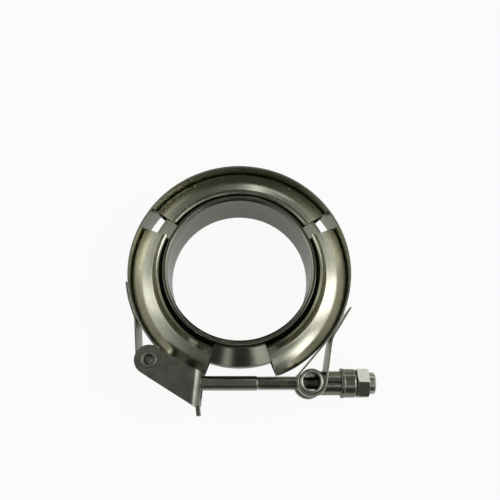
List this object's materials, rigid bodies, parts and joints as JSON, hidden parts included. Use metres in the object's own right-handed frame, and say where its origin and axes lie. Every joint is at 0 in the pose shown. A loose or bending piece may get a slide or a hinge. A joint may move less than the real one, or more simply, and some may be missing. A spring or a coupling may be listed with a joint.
{
  "type": "v band clamp",
  "caption": "Stainless quick-release V band clamp with its two turned weld flanges, folded latch, T bolt, trunnion and lock nut.",
  "frame": {"origin": "bore axis, in the plane where the two flanges meet", "axes": "+Z along the bore, +X along the bolt towards the nut"},
  "size_m": [0.11, 0.1131, 0.0252],
  "materials": {
    "brushed_stainless": "brushed",
    "bright_steel": "satin"
  },
  "bodies": {
    "clamp": {"strap_band": "brushed_stainless", "v_segment_top": "brushed_stainless", "v_segment_left": "brushed_stainless", "v_segment_right": "brushed_stainless", "flange_upper": "brushed_stainless", "flange_lower": "brushed_stainless", "hinge_barrel": "brushed_stainless"},
    "latch": {"latch": "brushed_stainless", "hinge_rivet": "bright_steel"},
    "trunnion": {"trunnion": "brushed_stainless", "trunnion_collar": "brushed_stainless"},
    "bolt": {"t_bolt": "bright_steel"},
    "nut": {"lock_nut": "bright_steel"}
  },
  "joints": [
    {"name": "latch_pivot", "type": "hinge", "parent": "clamp", "child": "latch", "pos_m": [-0.03865, -0.0399, 0], "axis": [0, 0, -1], "range_deg": [0, 120]},
    {"name": "bolt_swing", "type": "hinge", "parent": "clamp", "child": "trunnion", "pos_m": [0.03052, -0.04903, 0], "axis": [0, 0, 1], "range_deg": [-0.4, 1.4]},
    {"name": "bolt_slide", "type": "slide", "parent": "trunnion", "child": "bolt", "axis": [1, 0, 0], "range_m": [0, 0.005]},
    {"name": "nut_spin", "type": "hinge", "parent": "trunnion", "child": "nut", "pos_m": [0.0555, -0.04903, 0], "axis": [1, 0, 0], "range_deg": [0, 1985]}
  ],
  "couplings": [
    {"joint": "nut_spin", "follows": "bolt_slide", "rad_per_m": 6927.1}
  ]
}
